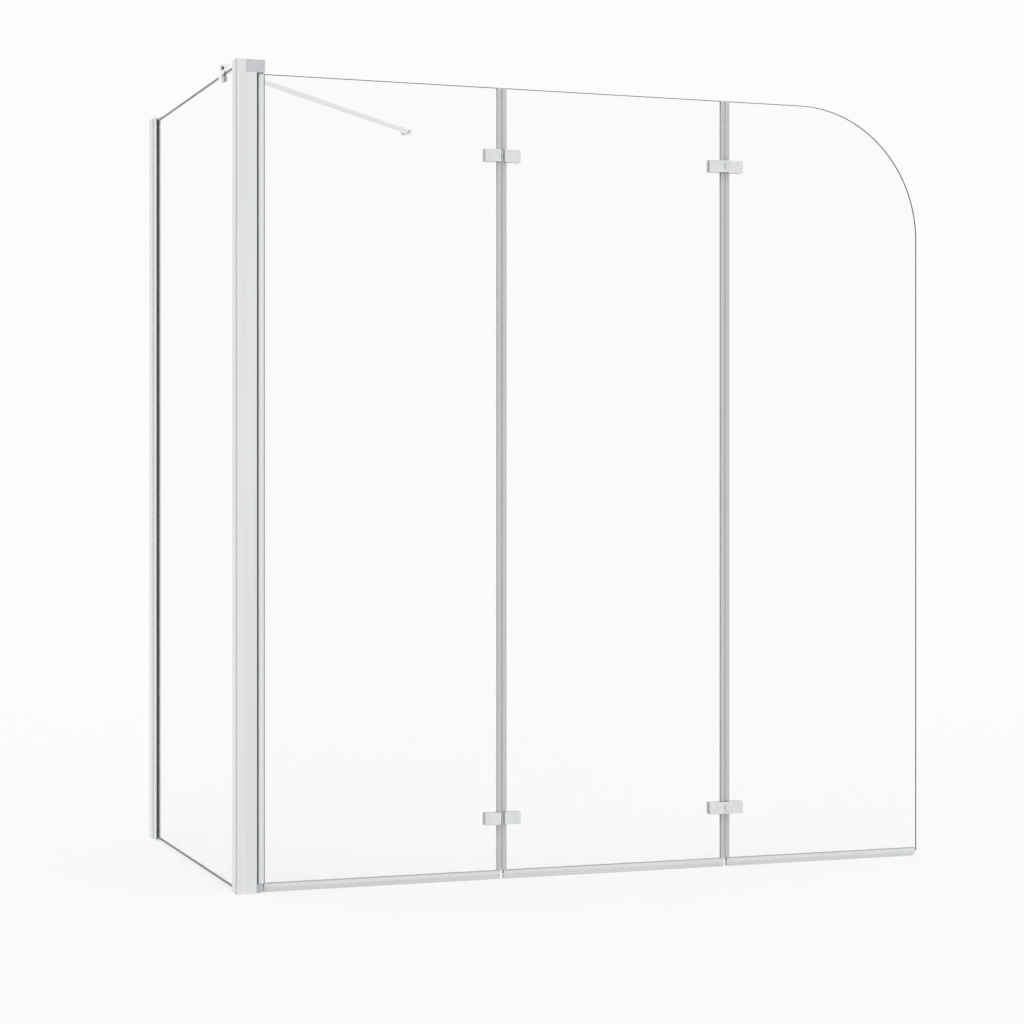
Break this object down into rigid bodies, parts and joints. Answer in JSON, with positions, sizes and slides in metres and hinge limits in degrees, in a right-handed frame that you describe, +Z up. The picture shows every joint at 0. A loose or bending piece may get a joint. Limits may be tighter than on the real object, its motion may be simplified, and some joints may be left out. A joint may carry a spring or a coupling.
{
  "type": "folding bath screen",
  "caption": "Frameless folding bath screen: hinged glass panels on a corner post, with a fixed side panel, a wall profile that adjusts and a stabiliser bar.",
  "frame": {"origin": "middle of the footprint, on the bath rim that the screen stands on", "axes": "+Z up; +X along the front from the corner post to the free glass edge; +Y from the front towards the wall that the side panel meets"},
  "size_m": [1.2, 0.68, 1.3082],
  "materials": {
    "clear_glass": "clear toughened",
    "matt_aluminium": "matt anodised",
    "chrome": "bright plated",
    "cap_plastic": "satin",
    "white_nylon": "satin",
    "black_rubber": "matt",
    "pad_rubber": "matt",
    "grey_pvc": "satin, slightly clear",
    "steel": "satin"
  },
  "bodies": {
    "frame": {"corner_post": "matt_aluminium", "side_glass": "clear_glass", "post_glass_gasket": "black_rubber", "glass_profile": "matt_aluminium", "glass_profile_gasket": "black_rubber", "top_pivot_cap": "cap_plastic", "bottom_pivot_block": "cap_plastic", "pivot_bushes": "white_nylon", "cap_screws": "steel", "thrust_washer": "white_nylon"},
    "wall_side": {"wall_profile": "matt_aluminium", "locking_screws": "steel", "locking_nuts": "steel", "screw_caps": "grey_pvc"},
    "brace": {"brace_clamp": "chrome", "clamp_liner": "pad_rubber", "clamp_screws": "steel", "stabiliser_bar": "chrome", "bar_end_plug": "black_rubber", "bar_tongue": "steel"},
    "foot": {"wall_foot": "chrome", "foot_pin": "steel"},
    "panel_1": {"pivot_profile": "matt_aluminium", "pivot_pins": "steel", "pivot_gasket": "black_rubber", "glazing_gasket": "pad_rubber", "panel_1_glass": "clear_glass", "panel_1_edge_seal": "grey_pvc", "panel_1_bottom_seal": "grey_pvc", "hinge_1_top_inner_left": "chrome", "hinge_1_top_outer_left": "chrome", "hinge_1_bottom_inner_left": "chrome", "hinge_1_bottom_outer_left": "chrome", "panel_1_hinge_pads": "pad_rubber", "panel_1_hinge_screws": "steel"},
    "panel_2": {"panel_2_glass": "clear_glass", "panel_2_left_seal": "grey_pvc", "panel_2_right_seal": "grey_pvc", "panel_2_bottom_seal": "grey_pvc", "hinge_1_top_inner_right": "chrome", "hinge_1_top_outer_right": "chrome", "hinge_1_bottom_inner_right": "chrome", "hinge_1_bottom_outer_right": "chrome", "hinge_2_top_inner_left": "chrome", "hinge_2_top_outer_left": "chrome", "hinge_2_bottom_inner_left": "chrome", "hinge_2_bottom_outer_left": "chrome", "hinge_1_pins": "steel", "panel_2_hinge_pads": "pad_rubber", "panel_2_hinge_screws": "steel"},
    "panel_3": {"panel_3_glass": "clear_glass", "panel_3_edge_seal": "grey_pvc", "panel_3_bottom_seal": "grey_pvc", "hinge_2_top_inner_right": "chrome", "hinge_2_top_outer_right": "chrome", "hinge_2_bottom_inner_right": "chrome", "hinge_2_bottom_outer_right": "chrome", "hinge_2_pins": "steel", "panel_3_hinge_pads": "pad_rubber", "panel_3_hinge_screws": "steel"}
  },
  "joints": [
    {"name": "panel_swing", "type": "hinge", "parent": "frame", "child": "panel_1", "pos_m": [-0.559, -0.326, 0.65], "axis": [0, 0, 1], "range_deg": [-90, 30]},
    {"name": "fold_1", "type": "hinge", "parent": "panel_1", "child": "panel_2", "pos_m": [-0.158, -0.3162, 0.65], "axis": [0, 0, 1], "range_deg": [0, 180]},
    {"name": "fold_2", "type": "hinge", "parent": "panel_2", "child": "panel_3", "pos_m": [0.238, -0.3358, 0.65], "axis": [0, 0, 1], "range_deg": [-180, 0]},
    {"name": "width_adjust", "type": "slide", "parent": "frame", "child": "wall_side", "axis": [0, 1, 0], "range_m": [-0.01, 0.01]},
    {"name": "brace_adjust", "type": "slide", "parent": "frame", "child": "brace", "axis": [0, 1, 0], "range_m": [-0.01, 0.01]},
    {"name": "foot_swivel", "type": "hinge", "parent": "brace", "child": "foot", "pos_m": [-0.113, 0.327, 1.3015], "axis": [0, 0, 1], "range_deg": [-15, 30]}
  ],
  "couplings": [
    {"joint": "fold_2", "follows": "fold_1", "ratio": -1},
    {"joint": "brace_adjust", "follows": "width_adjust", "ratio": 1}
  ]
}
